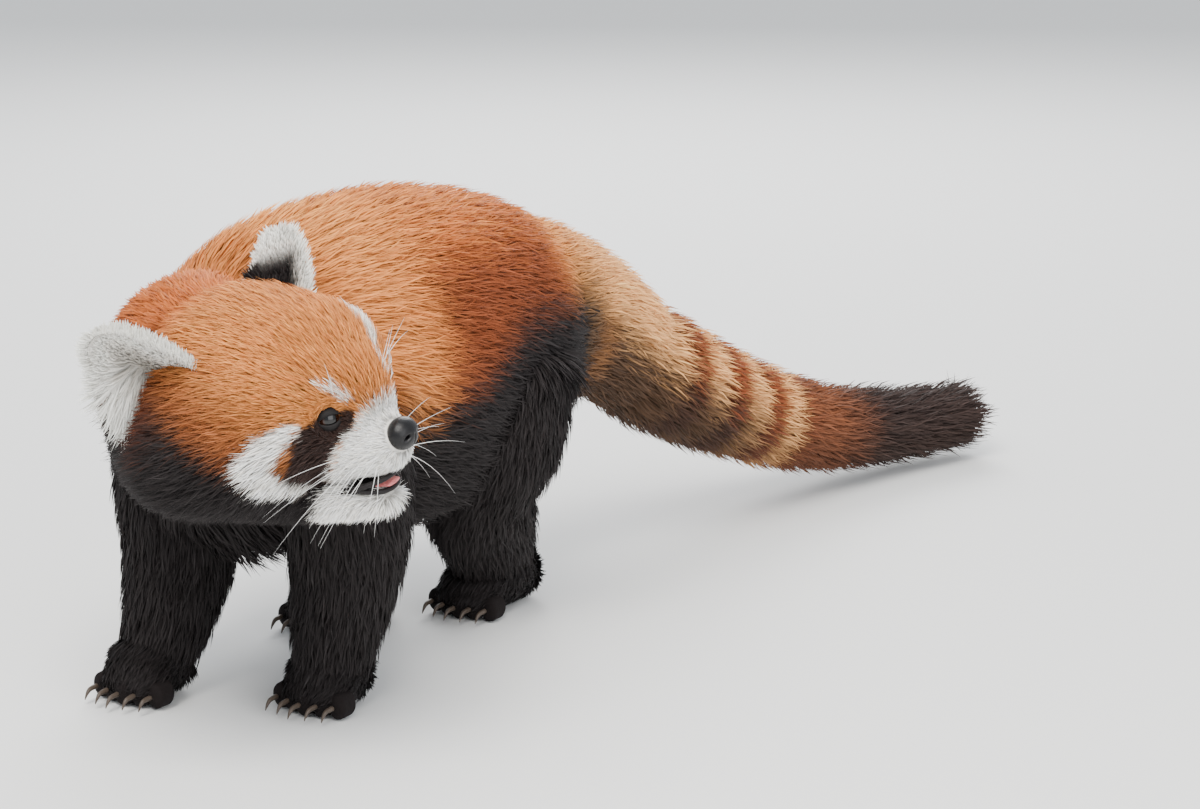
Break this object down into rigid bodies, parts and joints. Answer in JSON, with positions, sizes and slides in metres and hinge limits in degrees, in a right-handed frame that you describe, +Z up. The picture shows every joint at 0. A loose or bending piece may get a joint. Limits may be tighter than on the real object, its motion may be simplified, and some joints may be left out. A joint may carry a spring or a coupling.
{
  "type": "red panda",
  "caption": "Life-size still red panda mid-stride with its head turned to its left and its long ringed tail trailing low behind.",
  "frame": {"origin": "middle of the bounding box, on the floor under the soles", "axes": "+Z up, -Y the way the body is heading, +X its left side, to which the head is turned"},
  "size_m": [0.2576, 0.8974, 0.286],
  "materials": {
    "rust_coat": "dense rust-red fur with pale tips",
    "dark_coat": "long blackish-brown fur",
    "cream_coat": "short cream-white fur",
    "tail_coat": "bushy fur in cream and rust rings, dark at the tip",
    "eye": "glossy, brown round a black pupil",
    "nose_pad": "black, finely pebbled and moist",
    "tongue": "pink, moist"
  },
  "bodies": {
    "root": {"ear_left": "cream_coat", "ear_right": "cream_coat", "eye_left": "eye", "eye_right": "eye", "head": "rust_coat", "jaw": "cream_coat", "leg_front_left_lower": "dark_coat", "leg_front_left_upper": "dark_coat", "leg_front_right_lower": "dark_coat", "leg_front_right_upper": "dark_coat", "leg_hind_left_lower": "dark_coat", "leg_hind_left_upper": "dark_coat", "leg_hind_right_lower": "dark_coat", "leg_hind_right_upper": "dark_coat", "neck": "rust_coat", "nose": "nose_pad", "paw_front_left": "dark_coat", "paw_front_right": "dark_coat", "paw_hind_left": "dark_coat", "paw_hind_right": "dark_coat", "tail_1": "tail_coat", "tail_2": "tail_coat", "tail_3": "tail_coat", "tail_4": "tail_coat", "tail_5": "tail_coat", "tongue": "tongue", "torso": "rust_coat"}
  },
  "joints": []
}
